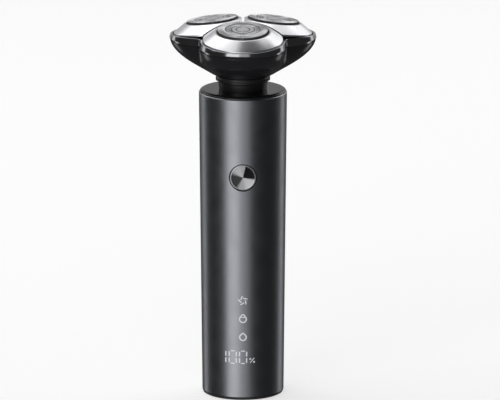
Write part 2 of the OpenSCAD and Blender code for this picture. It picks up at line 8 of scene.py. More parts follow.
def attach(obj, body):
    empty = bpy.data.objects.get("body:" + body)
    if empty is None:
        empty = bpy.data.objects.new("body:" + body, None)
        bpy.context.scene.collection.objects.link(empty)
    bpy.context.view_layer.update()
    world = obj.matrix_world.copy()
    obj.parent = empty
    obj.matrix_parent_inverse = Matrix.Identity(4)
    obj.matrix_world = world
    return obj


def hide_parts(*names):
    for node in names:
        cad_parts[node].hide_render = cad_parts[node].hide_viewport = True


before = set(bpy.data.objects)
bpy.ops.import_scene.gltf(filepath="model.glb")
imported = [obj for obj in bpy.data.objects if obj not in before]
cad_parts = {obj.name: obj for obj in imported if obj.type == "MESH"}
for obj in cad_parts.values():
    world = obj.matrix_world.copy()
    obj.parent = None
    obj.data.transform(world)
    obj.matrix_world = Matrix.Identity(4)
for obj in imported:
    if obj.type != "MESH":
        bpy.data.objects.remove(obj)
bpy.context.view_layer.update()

MM = 0.001

# Handle, in millimetres from its base
RIM = 127.0
TOP_R = 18.1
FOOT_R = 16.75
WALL = 1.5
BASE_BAND = 1.05
RIM_CHAMFER = 0.35
BUTTON_Z = 94.3
BUTTON_R = 5.4
BUTTON_BORE_R = 5.75
BUTTON_FACE_Y = 17.6
BUTTON_T = 1.3
DECK_TOP_Z = 1.05

# Display marks
DIGITS_Z = 18.4
DIGITS_H = 5.8
DROP_Z = 27.3
LOCK_Z = 35
FAN_Z = 42.4
MARK_LIFT = 0.02
MARK_DEPTH = 0.25
RIBBON_STEP = 0.35
DIGIT_GAP = 0.7
ZERO_HALF_W = 1.45

# Head: heights are from the handle's rim
PIVOT_Z = 11.0
BALL_R = 11.3
BOWL_FOOT_Z = 7.75
BOWL_START_Z = 8.0
BOWL_FULL_Z = 21.5
BOWL_TOP_Z = 20.2
BOWL_FOOT_R = 11.7
LOBE_REACH = 14.6
LOBE_R = 17.4
BOWL_WALL = 1.4
BLEND = 10
BOWL_POWER = 2.1
RIM_LOW_Z = 22.3
RIM_RISE = 1.5
PETAL_REACH = 14.5
PETAL_Z = 28.0
PETAL_LEAN = math.radians(7.5)
CAP_R = 10.5
CAP_GROOVES = (2.8, 4.65, 7.05)
BEZEL_R = 16.4
GAP_HALF = 0.55
LOBES = {"front": 270, "right": 30, "left": 150}

# Camera
VIEW_ELEVATION = math.radians(13.2)
VIEW_DISTANCE = 4.0
VIEW_WIDTH = 0.2058
VIEW_AIM = Vector((0.0029, 0, 0.0809))
SENSOR = 36.0
LAMP_AIM = Vector((0, 0, 0.1))

# Vectors that a turned piece keeps for its material
OWN_PLACE = "own_place"
OWN_RADIAL = "own_radial"

# Length over which a wave texture of scale 1 repeats
WAVE_PERIOD = math.tau / 20


# ---- Camera, floor and lights ----

def make_camera():
    data = bpy.data.cameras.new("camera")
    data.sensor_width = SENSOR
    data.lens = SENSOR * VIEW_DISTANCE / VIEW_WIDTH
    data.clip_start = 0.1
    data.clip_end = 100
    camera = bpy.data.objects.new("camera", data)
    back = Vector((0, -math.cos(VIEW_ELEVATION), math.sin(VIEW_ELEVATION)))
    camera.location = VIEW_AIM + back * VIEW_DISTANCE
    camera.rotation_euler = (-back).to_track_quat("-Z", "Y").to_euler()
    bpy.context.scene.collection.objects.link(camera)
    bpy.context.scene.camera = camera


def make_floor():
    half = 40.0
    corners = [(-half, -half, 0), (half, -half, 0), (half, half, 0), (-half, half, 0)]
    mesh = bpy.data.meshes.new("floor")
    mesh.from_pydata(corners, [], [(0, 1, 2, 3)])
    floor = bpy.data.objects.new("floor", mesh)
    bpy.context.scene.collection.objects.link(floor)
    material = bpy.data.materials.new("floor")
    material.use_nodes = True
    shader = material.node_tree.nodes["Principled BSDF"]
    shader.inputs["Base Color"].default_value = (0.45, 0.45, 0.45, 1)
    shader.inputs["Roughness"].default_value = 0.9
    shader.inputs["Specular IOR Level"].default_value = 0.0
    shader.inputs["Emission Color"].default_value = (1, 1, 1, 1)
    shader.inputs["Emission Strength"].default_value = 0.6
    mesh.materials.append(material)
    # The handle's metal then mirrors the dark studio and its lamps, and no floor
    floor.visible_glossy = False
    floor.visible_shadow = False


def make_lamp(name, azimuth, elevation, distance, size, power):
    """Soft box; the azimuth counts from the viewer's side of the object, with plus to the right."""
    data = bpy.data.lights.new(name, "AREA")
    data.shape = "RECTANGLE"
    data.size, data.size_y = size
    data.energy = power
    lamp = bpy.data.objects.new(name, data)
    side, up = math.radians(azimuth), math.radians(elevation)
    out = Vector((math.sin(side) * math.cos(up), -math.cos(side) * math.cos(up), math.sin(up)))
    lamp.location = LAMP_AIM + out * distance
    lamp.rotation_euler = out.to_track_quat("Z", "Y").to_euler()
    lamp.visible_camera = False
    bpy.context.scene.collection.objects.link(lamp)


def make_studio():
    scene = bpy.context.scene
    scene.view_settings.view_transform = "Standard"
    world = bpy.data.worlds.new("studio")
    scene.world = world
    world.use_nodes = True
    world.node_tree.nodes["Background"].inputs["Color"].default_value = (0.9, 0.9, 0.92, 1)
    world.node_tree.nodes["Background"].inputs["Strength"].default_value = 0.05
    # Name, azimuth and elevation in degrees, distance and size in metres, and watts
    for lamp in (
        ("key", -27, 2, 1.2, (0.75, 2.2), 11),
        ("key_tail", 4, 2, 1.2, (0.55, 2.2), 3),
        ("back", 180, 14, 1.6, (2.4, 1.4), 4.6),
        ("top_back", 180, 63, 1.2, (1.5, 0.8), 4.2),
        ("top_left", -112, 55, 1.3, (1.5, 1.6), 8),
        ("top_right", 140, 30, 1.3, (0.9, 0.9), 2.2),
        ("right_edge", 128, 4, 1.2, (0.35, 1.8), 2.4),
        ("left_edge", -128, 4, 1.2, (0.35, 1.8), 2.4),
    ):
        make_lamp(*lamp)


# ---- Materials ----

class Paint:
    """Builds one node material; the texture space is the object's own, in metres."""

    def __init__(self, name, colour, metallic=0.0, roughness=0.5, specular=0.5, coat=0.0):
        self.material = bpy.data.materials.new(name)
        self.material.use_nodes = True
        self.tree = self.material.node_tree
        self.shader = self.tree.nodes["Principled BSDF"]
        self.colour = colour
        self.set("Base Color", (*colour, 1))
        self.set("Metallic", metallic)
        self.set("Roughness", roughness)
        self.set("Specular IOR Level", specular)
        self.set("Coat Weight", coat)
        self.set("Coat Roughness", 0.08)
        self.roughness = roughness
        self.place = self.tree.nodes.new("ShaderNodeTexCoord").outputs["Object"]
        self.heights = []

    def set(self, socket, value):
        self.shader.inputs[socket].default_value = value

    def node(self, kind, **inputs):
        node = self.tree.nodes.new(kind)
        for socket, value in inputs.items():
            node.inputs[socket].default_value = value
        return node

    def link(self, source, target):
        self.tree.links.new(source, target)

    def stretched(self, stretch):
        """The texture space, with each axis multiplied."""
        mapping = self.node("ShaderNodeMapping", Scale=stretch)
        self.link(self.place, mapping.inputs["Vector"])
        return mapping.outputs["Vector"]

    def noise(self, size_mm, stretch=(1, 1, 1), detail=4.0):
        noise = self.node("ShaderNodeTexNoise", Scale=1 / (size_mm * MM), Detail=detail)
        self.link(self.stretched(stretch), noise.inputs["Vector"])
        return noise.outputs["Fac"]

    def rings(self, pitch_mm):
        """Fine grooves round the Z axis."""
        scale = WAVE_PERIOD / (pitch_mm * MM)
        wave = self.node("ShaderNodeTexWave", Scale=scale, Distortion=0.0)
        wave.wave_type = "RINGS"
        wave.rings_direction = "Z"
        self.link(self.place, wave.inputs["Vector"])
        return wave.outputs["Fac"]

    def ramp(self, source, low, high, ends=(0.3, 0.7)):
        """Spreads a source from between its two ends to between low and high."""
        spread = self.tree.nodes.new("ShaderNodeMapRange")
        spread.inputs["From Min"].default_value = ends[0]
        spread.inputs["From Max"].default_value = ends[1]
        spread.inputs["To Min"].default_value = low
        spread.inputs["To Max"].default_value = high
        self.link(source, spread.inputs["Value"])
        return spread.outputs["Result"]

    def vary_roughness(self, source, spread):
        low, high = self.roughness - spread, self.roughness + spread
        self.link(self.ramp(source, low, high), self.shader.inputs["Roughness"])

    def vary_colour(self, source, other, ends=(0.3, 0.7)):
        mix = self.tree.nodes.new("ShaderNodeMix")
        mix.data_type = "RGBA"
        mix.inputs["A"].default_value = (*self.colour, 1)
        mix.inputs["B"].default_value = (*other, 1)
        self.link(self.ramp(source, 0, 1, ends), mix.inputs["Factor"])
        self.link(mix.outputs["Result"], self.shader.inputs["Base Color"])

    def bump(self, source, depth_mm, strength=1.0):
        bump = self.node("ShaderNodeBump", Strength=strength, Distance=depth_mm * MM)
        self.link(source, bump.inputs["Height"])
        if self.heights:
            self.link(self.heights[-1], bump.inputs["Normal"])
        self.heights.append(bump.outputs["Normal"])
        self.link(bump.outputs["Normal"], self.shader.inputs["Normal"])

    def reach(self):
        """Distance from the piece's own Z axis."""
        length = self.tree.nodes.new("ShaderNodeVectorMath")
        length.operation = "LENGTH"
        self.link(self.stretched((1, 1, 0)), length.inputs[0])
        return length.outputs["Value"]

    def shades(self, source, spots, tint):
        """Greys along a 0 to 1 source; each spot is a position and a grey."""
        shades = self.tree.nodes.new("ShaderNodeValToRGB")
        stops = shades.color_ramp.elements
        stops.remove(stops[1])
        for i, (position, grey) in enumerate(spots):
            stop = stops.new(position) if i else stops[0]
            stop.position = position
            stop.color = (grey, grey, grey * tint, 1)
        self.link(source, shades.inputs["Fac"])
        return shades.outputs["Color"]

    def kept(self, name):
        """Reads a vector that put_in_place kept on the mesh."""
        kept = self.tree.nodes.new("ShaderNodeAttribute")
        kept.attribute_name = name
        return kept.outputs["Vector"]

    def turned(self, amount):
        """Stretches highlights away from the piece's own Z axis, as fine circular brushing does."""
        world = self.tree.nodes.new("ShaderNodeVectorTransform")
        world.vector_type = "VECTOR"
        world.convert_from = "OBJECT"
        world.convert_to = "WORLD"
        self.link(self.kept(OWN_RADIAL), world.inputs["Vector"])
        unit = self.tree.nodes.new("ShaderNodeVectorMath")
        unit.operation = "NORMALIZE"
        self.link(world.outputs["Vector"], unit.inputs[0])
        self.set("Anisotropic", amount)
        self.link(unit.outputs["Vector"], self.shader.inputs["Tangent"])


def gunmetal():
    paint = Paint("gunmetal", (0.20, 0.205, 0.222), metallic=1.0, roughness=0.36)
    flake = paint.noise(0.12, detail=2)
    paint.vary_colour(flake, (0.235, 0.24, 0.258))
    paint.vary_roughness(paint.noise(6), 0.03)
    paint.bump(flake, 0.002, 0.5)
    return paint.material


# Moulded gloss parts: nearly black, with a faint waviness
def black_gloss(name, roughness, specular):
    paint = Paint(name, (0.008, 0.008, 0.009), roughness=roughness, specular=specular)
    paint.vary_roughness(paint.noise(4), 0.02)
    paint.bump(paint.noise(5, detail=2), 0.003, 0.3)
    return paint.material


def moulded(name, colour, roughness):
    paint = Paint(name, colour, roughness=roughness)
    grain = paint.noise(0.25)
    paint.vary_colour(paint.noise(3), tuple(c * 0.8 for c in colour))
    paint.vary_roughness(grain, 0.07)
    paint.bump(grain, 0.01, 0.6)
    return paint.material


def soft_rubber():
    paint = Paint("soft_rubber", (0.018, 0.018, 0.019), roughness=0.72, specular=0.35)
    dust = paint.noise(0.4)
    paint.vary_colour(dust, (0.028, 0.028, 0.029))
    paint.vary_roughness(dust, 0.08)
    paint.bump(paint.noise(0.15), 0.012, 0.6)
    return paint.material


def worked_steel(name, colour, roughness, stretch, grain_mm=0.3, depth_mm=0.004):
    paint = Paint(name, colour, metallic=1.0, roughness=roughness)
    scratch = paint.noise(grain_mm, stretch)
    paint.vary_colour(scratch, tuple(c * 0.86 for c in colour))
    paint.vary_roughness(scratch, 0.06)
    paint.bump(scratch, depth_mm, 0.6)
    return paint.material


def spun_button():
    """Turned face with a painted reflection: two bright and two shaded sectors painted round its centre,
    where on the real part its circular grooves throw them.
    """
    bright, painted_dark, grey, tint = 0.46, 0.012, 0.055, 1.03
    paint = Paint("spun_metal", (bright, bright, bright * tint), metallic=1.0, roughness=0.38)
    paint.place = paint.kept(OWN_PLACE)
    lines = paint.rings(0.25)
    paint.vary_roughness(lines, 0.02)
    paint.bump(lines, 0.0006, 0.3)
    paint.turned(0.9)
    turn = paint.tree.nodes.new("ShaderNodeTexGradient")
    turn.gradient_type = "RADIAL"
    paint.link(paint.place, turn.inputs["Vector"])
    # Painted reflection: degrees round the face, anticlockwise from its right, each with its painted
    # highlight or shade
    painted_reflection_angles = [(-180, grey), (-128, grey), (-110, bright), (-14, bright), (-3, painted_dark)]
    painted_reflection_angles += [(75, painted_dark), (80, bright), (143, bright), (167, grey)]
    spots = [(angle / 360 + 0.5, shade) for angle, shade in painted_reflection_angles]
    # The painted reflection stops short of the rim, which keeps the plain metal colour
    mix = paint.tree.nodes.new("ShaderNodeMix")
    mix.data_type = "RGBA"
    mix.inputs["B"].default_value = (*paint.colour, 1)
    edge = ((BUTTON_R - 0.55) * MM, (BUTTON_R - 0.45) * MM)
    paint.link(paint.ramp(paint.reach(), 0, 1, edge), mix.inputs["Factor"])
    paint.link(paint.shades(turn.outputs["Fac"], spots, tint), mix.inputs["A"])
    paint.link(mix.outputs["Result"], paint.shader.inputs["Base Color"])
    return paint.material


def guard_steel():
    """Steel of the guard caps, with painted shade in their ring grooves and down their slotted skirt."""
    bright, painted_dark, tint = 0.72, 0.16, 1.03
    paint = Paint("guard_steel", (bright, bright, bright * tint), metallic=1.0, roughness=0.27)
    paint.place = paint.kept(OWN_PLACE)
    lines = paint.rings(0.45)
    paint.vary_roughness(lines, 0.05)
    paint.bump(lines, 0.003, 0.5)
    paint.turned(0.5)
    # Painted shade: the steel is darker in each ring groove and darkest on the skirt
    spots = [(0, bright)]
    for r in CAP_GROOVES:
        spots += [(r - 0.34, bright), (r - 0.16, painted_dark), (r + 0.16, painted_dark), (r + 0.34, bright)]
    spots += [(CAP_R - 0.26, bright), (CAP_R - 0.1, painted_dark / 2)]
    across = paint.ramp(paint.reach(), 0, 1, (0, CAP_R * MM))
    shades = paint.shades(across, [(r / CAP_R, grey) for r, grey in spots], tint)
    paint.link(shades, paint.shader.inputs["Base Color"])
    return paint.material


def satin_chrome():
    paint = Paint("satin_chrome", (0.71, 0.71, 0.735), metallic=1.0, roughness=0.29)
    paint.place = paint.kept(OWN_PLACE)
    lines = paint.rings(0.3)
    paint.vary_roughness(lines, 0.02)
    paint.bump(lines, 0.0004, 0.3)
    return paint.material


def dark_chrome():
    paint = Paint("dark_chrome", (0.32, 0.32, 0.33), metallic=1.0, roughness=0.16)
    paint.vary_roughness(paint.noise(4), 0.02)
    paint.bump(paint.noise(5, detail=2), 0.003, 0.3)
    return paint.material


def lit_marks():
    paint = Paint("lit_marks", (0.52, 0.53, 0.56), roughness=0.5)
    speck = paint.noise(0.2)
    paint.vary_colour(speck, (0.46, 0.47, 0.5))
    paint.set("Emission Color", (0.62, 0.64, 0.68, 1))
    paint.set("Emission Strength", 0.2)
    return paint.material


def board_green():
    paint = Paint("circuit_board", (0.01, 0.09, 0.035), roughness=0.35, coat=0.3)
    traces = paint.tree.nodes.new("ShaderNodeTexBrick")
    traces.inputs["Scale"].default_value = 260
    traces.inputs["Mortar Size"].default_value = 0.03
    paint.link(paint.stretched((1, 1, 0.6)), traces.inputs["Vector"])
    paint.vary_colour(traces.outputs["Fac"], (0.02, 0.2, 0.08), (0, 1))
    paint.bump(traces.outputs["Fac"], 0.02, 0.5)
    return paint.material


def wound_copper():
    paint = Paint("copper", (0.72, 0.36, 0.2), metallic=1.0, roughness=0.34)
    wave = paint.node("ShaderNodeTexWave", Scale=420.0, Distortion=0.6)
    wave.bands_direction = "Z"
    paint.link(paint.place, wave.inputs["Vector"])
    paint.vary_colour(wave.outputs["Fac"], (0.38, 0.15, 0.07), (0, 1))
    paint.bump(wave.outputs["Fac"], 0.08, 0.7)
    return paint.material


def battery_wrap():
    paint = Paint("battery_wrap", (0.02, 0.10, 0.28), roughness=0.28, coat=0.4)
    creases = paint.noise(2.5, (1, 1, 0.2))
    paint.vary_colour(creases, (0.03, 0.14, 0.36))
    paint.vary_roughness(creases, 0.08)
    paint.bump(creases, 0.03, 0.5)
    return paint.material


# ---- Mesh tools; outlines are in millimetres ----

def bezier_corner(before, corner, after, radius, steps):
    to_before = (before - corner)
    to_after = (after - corner)
    reach = min(radius, 0.45 * to_before.length, 0.45 * to_after.length)
    start = corner + to_before.normalized() * reach
    end = corner + to_after.normalized() * reach
    points = []
    for i in range(steps + 1):
        t = i / steps
        points.append(start * (1 - t) ** 2 + corner * 2 * t * (1 - t) + end * t ** 2)
    return points


def rounded(outline, radius, steps=4):
    """Closed outline with each corner turned into a small curve."""
    points = [Vector(p) for p in outline]
    result = []
    for i, corner in enumerate(points):
        result += bezier_corner(points[i - 1], corner, points[(i + 1) % len(points)], radius, steps)
    return [(p.x, p.y) for p in result]


def put_in_place(mesh, place):
    """Moves a turned piece to its place, and keeps its own axis for its material."""
    spots = [vertex.co.copy() for vertex in mesh.vertices]
    turn = place.to_3x3()
    for name, vectors in (
        (OWN_PLACE, spots),
        (OWN_RADIAL, [turn @ Vector((spot.x, spot.y, 0)) for spot in spots]),
    ):
        kept = mesh.attributes.new(name, "FLOAT_VECTOR", "POINT")
        kept.data.foreach_set("vector", [value for vector in vectors for value in vector])
    mesh.transform(place)


def finish_mesh(name, bm, material, crease=34, place=None):
    bmesh.ops.remove_doubles(bm, verts=bm.verts, dist=0.00001 * MM)
    bmesh.ops.recalc_face_normals(bm, faces=bm.faces)
    mesh = bpy.data.meshes.new(name)
    bm.to_mesh(mesh)
    bm.free()
    for polygon in mesh.polygons:
        polygon.use_smooth = True
    mesh.set_sharp_from_angle(angle=math.radians(crease))
    mesh.materials.append(material)
    if place is not None:
        put_in_place(mesh, place)
    piece = bpy.data.objects.new(name, mesh)
    bpy.context.scene.collection.objects.link(piece)
    return piece


def grid_mesh(rows, closed_rows, closed_columns, skip=None):
    """Quad skin over rows of points; a skipped cell is left open."""
    bm = bmesh.new()
    count = len(rows[0])
    verts = [[bm.verts.new(Vector(p) * MM) for p in row] for row in rows]
    last_row = len(rows) if closed_rows else len(rows) - 1
    last_column = count if closed_columns else count - 1
    for j in range(last_row):
        upper = verts[(j + 1) % len(rows)]
        for i in range(last_column):
            if skip and skip(j, i):
                continue
            nxt = (i + 1) % count
            corners = [verts[j][i], verts[j][nxt], upper[nxt], upper[i]]
            bm.faces.new(corners)
    return bm


def apply_modifiers(piece):
    bpy.context.view_layer.update()
    depsgraph = bpy.context.evaluated_depsgraph_get()
    mesh = bpy.data.meshes.new_from_object(piece.evaluated_get(depsgraph))
    piece.modifiers.clear()
    piece.data = mesh


def on_rim(outline):
    """Lifts an outline whose heights are from the handle's rim."""
    return [(r, z + RIM) for r, z in outline]


def around_axis(outline, segments):
    turns = [i * math.tau / segments for i in range(segments)]
    return [[(r * math.cos(a), r * math.sin(a), z) for a in turns] for r, z in outline]


def lathe(outline, segments=224, closed=True):
    return grid_mesh(around_axis(outline, segments), closed, True)


# ---- Handle ----

def tube_radius(z):
    return FOOT_R + (TOP_R - FOOT_R) * z / RIM


def turned_normals(mesh):
    """Gives every face of a turned wall the true normal at its corners."""
    normals = [None] * len(mesh.loops)
    for polygon in mesh.polygons:
        flat = polygon.normal.copy()
        centre = polygon.center
        reach = math.hypot(flat.x, flat.y)
        out = Vector((centre.x, centre.y, 0)).normalized()
        facing = (flat.x * out.x + flat.y * out.y)
        turned = reach > 0.2 and abs(facing) > 0.998 * reach
        for loop in polygon.loop_indices:
            spot = mesh.vertices[mesh.loops[loop].vertex_index].co
            radial = Vector((spot.x, spot.y, 0)).normalized()
            if turned:
                side = radial * math.copysign(reach, facing)
                normals[loop] = (side + Vector((0, 0, flat.z))).normalized()
            else:
                normals[loop] = flat
    mesh.normals_split_custom_set(normals)


def make_tube(material):
    # Rings of points above and below the button's bore
    clear_of_bore = 9
    outline = [
        (tube_radius(BASE_BAND) - WALL, BASE_BAND),
        (tube_radius(BASE_BAND) - 0.25, BASE_BAND),
        (tube_radius(BASE_BAND + 0.3), BASE_BAND + 0.3),
        (tube_radius(BUTTON_Z - clear_of_bore), BUTTON_Z - clear_of_bore),
        (tube_radius(BUTTON_Z + clear_of_bore), BUTTON_Z + clear_of_bore),
        (tube_radius(RIM - RIM_CHAMFER), RIM - RIM_CHAMFER),
        (TOP_R - RIM_CHAMFER, RIM),
        (TOP_R - WALL, RIM),
    ]
    tube = finish_mesh("handle_shell", lathe(outline, 288), material)
    inner_end, outer_end = 8, 22
    drill = [(0, inner_end), (BUTTON_BORE_R, inner_end), (BUTTON_BORE_R, outer_end), (0, outer_end)]
    bore = finish_mesh("bore", lathe(drill, 128), material)
    turn = Matrix.Rotation(math.radians(90), 4, "X")
    bore.matrix_world = Matrix.Translation((0, 0, BUTTON_Z * MM)) @ turn
    cut = tube.modifiers.new("bore", "BOOLEAN")
    cut.object = bore
    cut.operation = "DIFFERENCE"
    cut.solver = "EXACT"
    apply_modifiers(tube)
    bpy.data.objects.remove(bore)
    turned_normals(tube.data)
    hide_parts("body_tube")
    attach(tube, "handle")


def on_tube(x, z, lift):
    r = tube_radius(z) + lift
    return (x, -math.sqrt(r * r - x * x), z)


def subdivided(points):
    result = []
    for start, end in zip(points, points[1:]):
        pieces = max(1, math.ceil(math.dist(start, end) / RIBBON_STEP))
        result += [[a + (b - a) * k / pieces for a, b in zip(start, end)] for k in range(pieces)]
    result.append(list(points[-1]))
    return result


def ribbon(bm, stations, closed=False):
    """Inlaid strip on the handle; each station is x, z and width."""
    stations = subdivided(stations)
    count = len(stations)
    strip = []
    for i, (x, z, width) in enumerate(stations):
        before = stations[i - 1] if i or closed else stations[0]
        after = stations[(i + 1) % count] if i < count - 1 or closed else stations[-1]
        if closed and i == 0:
            before = stations[-2]
        if closed and i == count - 1:
            after = stations[1]
        along = Vector((after[0] - before[0], after[1] - before[1])).normalized()
        side = Vector((-along.y, along.x)) * width / 2
        left = (x + side.x, z + side.y)
        right = (x - side.x, z - side.y)
        ring = [on_tube(*left, MARK_LIFT), on_tube(*right, MARK_LIFT),
                on_tube(*right, -MARK_DEPTH), on_tube(*left, -MARK_DEPTH)]
        strip.append([bm.verts.new(Vector(p) * MM) for p in ring])
    for start, end in zip(strip, strip[1:]):
        for k in range(4):
            bm.faces.new([start[k], start[(k + 1) % 4], end[(k + 1) % 4], end[k]])
    if not closed:
        bm.faces.new(strip[0])
        bm.faces.new(strip[-1][::-1])


def segment_mark(bm, x, z, length, upright, width=0.5):
    half, tip = length / 2, 0.12
    spots = [(-half, width * 0.6), (-half + tip, width), (half - tip, width), (half, width * 0.6)]
    if upright:
        ribbon(bm, [(x, z + d, w) for d, w in spots])
    else:
        ribbon(bm, [(x + d, z, w) for d, w in spots])


def upright_marks(bm, x):
    bar = DIGITS_H / 2 - 0.9
    for side in (-1, 1):
        segment_mark(bm, x, DIGITS_Z + side * (bar + DIGIT_GAP) / 2, bar, True)


def zero_mark(bm, x):
    for side in (-1, 1):
        upright_marks(bm, x + side * ZERO_HALF_W)
        segment_mark(bm, x, DIGITS_Z + side * (DIGITS_H / 2 - 0.26), 1.7, False, 0.42)


def arc(cx, cz, r, start, end, width, steps=36):
    turns = [math.radians(start + (end - start) * i / steps) for i in range(steps + 1)]
    return [(cx + r * math.cos(a), cz + r * math.sin(a), width) for a in turns]


def fan_blade(bm, turn):
    """Thin bar from near the fan's centre to its edge, leaning to one side."""
    ends = []
    for reach, swing, width in ((0.8, 68, 0.36), (1.1, 46, 0.46), (1.65, 12, 0.46), (1.95, 0, 0.34)):
        a = math.radians(turn + swing)
        ends.append((reach * math.cos(a), FAN_Z + reach * math.sin(a), width))
    ribbon(bm, ends)


def make_marks(material):
    bm = bmesh.new()
    upright_marks(bm, -7.05)
    zero_mark(bm, -4.2)
    zero_mark(bm, 0.05)
    percent_x, percent_z = 3.8, DIGITS_Z - DIGITS_H / 2 + 1.5
    ribbon(bm, [(percent_x - 0.84, percent_z - 1, 0.32), (percent_x + 0.84, percent_z + 1, 0.32)])
    for side in (-1, 1):
        dot = arc(percent_x + side * 0.78, percent_z - side * 0.65, 0.26, 0, 360, 0.28, 16)
        ribbon(bm, dot, closed=True)
    ribbon(bm, arc(0, LOCK_Z - 0.4, 1.39, 125, 415, 0.5))
    ribbon(bm, arc(0, LOCK_Z + 0.85, 0.67, -20, 200, 0.48, 24))
    ribbon(bm, [(-0.92, LOCK_Z + 0.3, 0.3), (0.92, LOCK_Z + 0.3, 0.3)])
    drop_centre = DROP_Z - 0.4
    tip = [(0, drop_centre + 1.8, 0.5)]
    ribbon(bm, tip + arc(0, drop_centre, 1.35, 132, 408, 0.52) + tip, closed=True)
    for i in range(5):
        fan_blade(bm, 90 + 72 * i)
    marks = finish_mesh("display_inlay", bm, material, crease=30)
    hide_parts("display_symbols")
    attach(marks, "handle")


def make_deck(material):
    flange, spigot = TOP_R - RIM_CHAMFER, TOP_R - WALL
    bore_r, edge_r, edge_z = 9.5, 16.1, 0.1
    outline = [(bore_r, -1), (bore_r, DECK_TOP_Z), (12.5, DECK_TOP_Z)]
    steps = 14
    for i in range(steps + 1):
        a = math.pi / 2 * i / steps
        r = edge_r + (flange - edge_r) * math.sin(a)
        outline.append((r, edge_z + (DECK_TOP_Z - edge_z) * math.cos(a)))
    outline += [(flange, 0), (spigot - 0.1, 0), (spigot - 0.15, -3), (spigot - 1.4, -3), (spigot - 1.4, -1)]
    deck = finish_mesh("handle_deck", lathe(on_rim(outline), 256), material, crease=40)
    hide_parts("top_deck")
    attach(deck, "handle")


def make_collar(material):
    corners = [(10.75, 5.85), (11.2, 5.85), (11.2, 6.12), (10.95, 6.8), (10.75, 6.8)]
    collar = finish_mesh("collar_ring", lathe(on_rim(rounded(corners, 0.12, 6)), 224), material)
    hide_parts("neck_collar")
    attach(collar, "handle")


def make_button(material):
    top, rim, dish = BUTTON_T, BUTTON_R - 0.6, BUTTON_R - 0.8
    outline = [(0, 0), (BUTTON_R, 0), (BUTTON_R, top - 0.42), (BUTTON_R - 0.06, top - 0.26)]
    outline += [(BUTTON_R - 0.34, top - 0.02), (BUTTON_R - 0.42, top), (rim, top), (dish, top - 0.06)]
    steps = 12
    for i in range(1, steps + 1):
        inward = 1 - i / steps
        outline.append((dish * inward, top - 0.06 - 0.14 * (1 - inward ** 2)))
    turn = Matrix.Rotation(math.radians(90), 4, "X")
    place = Matrix.Translation((0, -(BUTTON_FACE_Y - top) * MM, BUTTON_Z * MM)) @ turn
    button = finish_mesh("button_face", lathe(outline, 160, closed=False), material, 30, place)
    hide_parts("button_cap")
    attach(button, "button")


# ---- Head ----

def growth(z):
    """Share of its full width that the bowl has at a height; it flares fast and then levels off."""
    u = min(1, max(0, (z - BOWL_FOOT_Z) / (BOWL_FULL_Z - BOWL_FOOT_Z)))
    return 1 - (1 - u) ** BOWL_POWER


def lobe_size(z):
    return BOWL_FOOT_R + (LOBE_R - BOWL_FOOT_R) * growth(z)


def one_lobe(turn, reach, r):
    return reach * math.cos(turn) + math.sqrt(r * r - (reach * math.sin(turn)) ** 2)


def trefoil(turn, reach, r):
    """Radius of three blended lobes in a direction."""
    lobes = [one_lobe(turn - math.radians(a), reach, r) ** BLEND for a in LOBES.values()]
    return sum(lobes) ** (1 / BLEND)


def lobed_ring(level, reach, size, count, least=0):
    ring = []
    for i in range(count):
        a = i * math.tau / count
        r = max(least, trefoil(a, reach, size))
        z = level(a) if callable(level) else level
        ring.append((r * math.cos(a), r * math.sin(a), RIM + z))
    return ring


def make_bowl(material):
    count, steps = 288, 30
    rise = BOWL_TOP_Z - BOWL_START_Z
    levels = [BOWL_START_Z + rise * (i / steps) ** 1.5 for i in range(steps + 1)]
    rows = []
    for z in levels:
        rows.append(lobed_ring(z, LOBE_REACH * growth(z), lobe_size(z), count))
    for z in reversed(levels[::3]):
        ball = math.sqrt(max(0, (BALL_R + 0.08) ** 2 - (z - PIVOT_Z) ** 2))
        rows.append(lobed_ring(z, LOBE_REACH * growth(z), lobe_size(z) - BOWL_WALL, count, ball))
    bowl = finish_mesh("head_bowl", grid_mesh(rows, True, True), material)
    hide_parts("hair_chamber")
    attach(bowl, "head")


def rim_height(turn):
    return RIM_LOW_Z + RIM_RISE * (1 - math.cos(3 * (turn - math.radians(LOBES["front"])))) / 2


def make_frame_band(material):
    count = 288
    foot = BOWL_TOP_Z + 0.05
    belt = 21.15
    reach, size = LOBE_REACH * growth(BOWL_TOP_Z), lobe_size(BOWL_TOP_Z)

    def row(level, swell):
        return lobed_ring(level, reach, size + swell, count)

    def below_rim(drop):
        return lambda turn: rim_height(turn) - drop

    # Up the outside to the belt and the wavy rim, then down the inside
    rows = [row(foot, -0.15), row(foot + 0.08, -0.02), row(foot + 0.16, 0.03), row(belt - 0.12, 0.26)]
    rows += [row(belt, 0.3), row(belt + 0.12, 0.28), row(below_rim(0.14), 0.0), row(below_rim(0.03), -0.07)]
    rows += [row(rim_height, -0.2), row(rim_height, -0.85), row(below_rim(0.1), -1.0)]
    rows += [row(foot + 0.5, -1.3), row(foot, -1.3)]
    band = finish_mesh("frame_band", grid_mesh(rows, True, True), material, crease=24)
    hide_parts("blade_frame")
    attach(band, "blade_unit")


def petal_place(azimuth):
    turn = Matrix.Rotation(math.radians(azimuth), 4, "Z")
    out = Matrix.Translation((PETAL_REACH * MM, 0, (RIM + PETAL_Z) * MM))
    return turn @ out @ Matrix.Rotation(PETAL_LEAN, 4, "Y")


def cut_to_sector(bm, place, azimuth):
    """Cuts a bezel along the two planes where it meets its neighbours."""
    inverse = place.inverted()
    for side in (-1, 1):
        edge = math.radians(azimuth + side * 60)
        normal = Vector((-math.sin(edge), math.cos(edge), 0)) * side
        point = -normal * GAP_HALF * MM
        local_point = inverse @ point
        local_normal = (inverse.to_3x3() @ normal).normalized()
        geometry = bm.verts[:] + bm.edges[:] + bm.faces[:]
        cut = bmesh.ops.bisect_plane(
            bm, geom=geometry, plane_co=local_point, plane_no=local_normal, clear_outer=True
        )
        edges = [e for e in cut["geom_cut"] if isinstance(e, bmesh.types.BMEdge)]
        bmesh.ops.triangle_fill(bm, edges=edges, use_beauty=True)


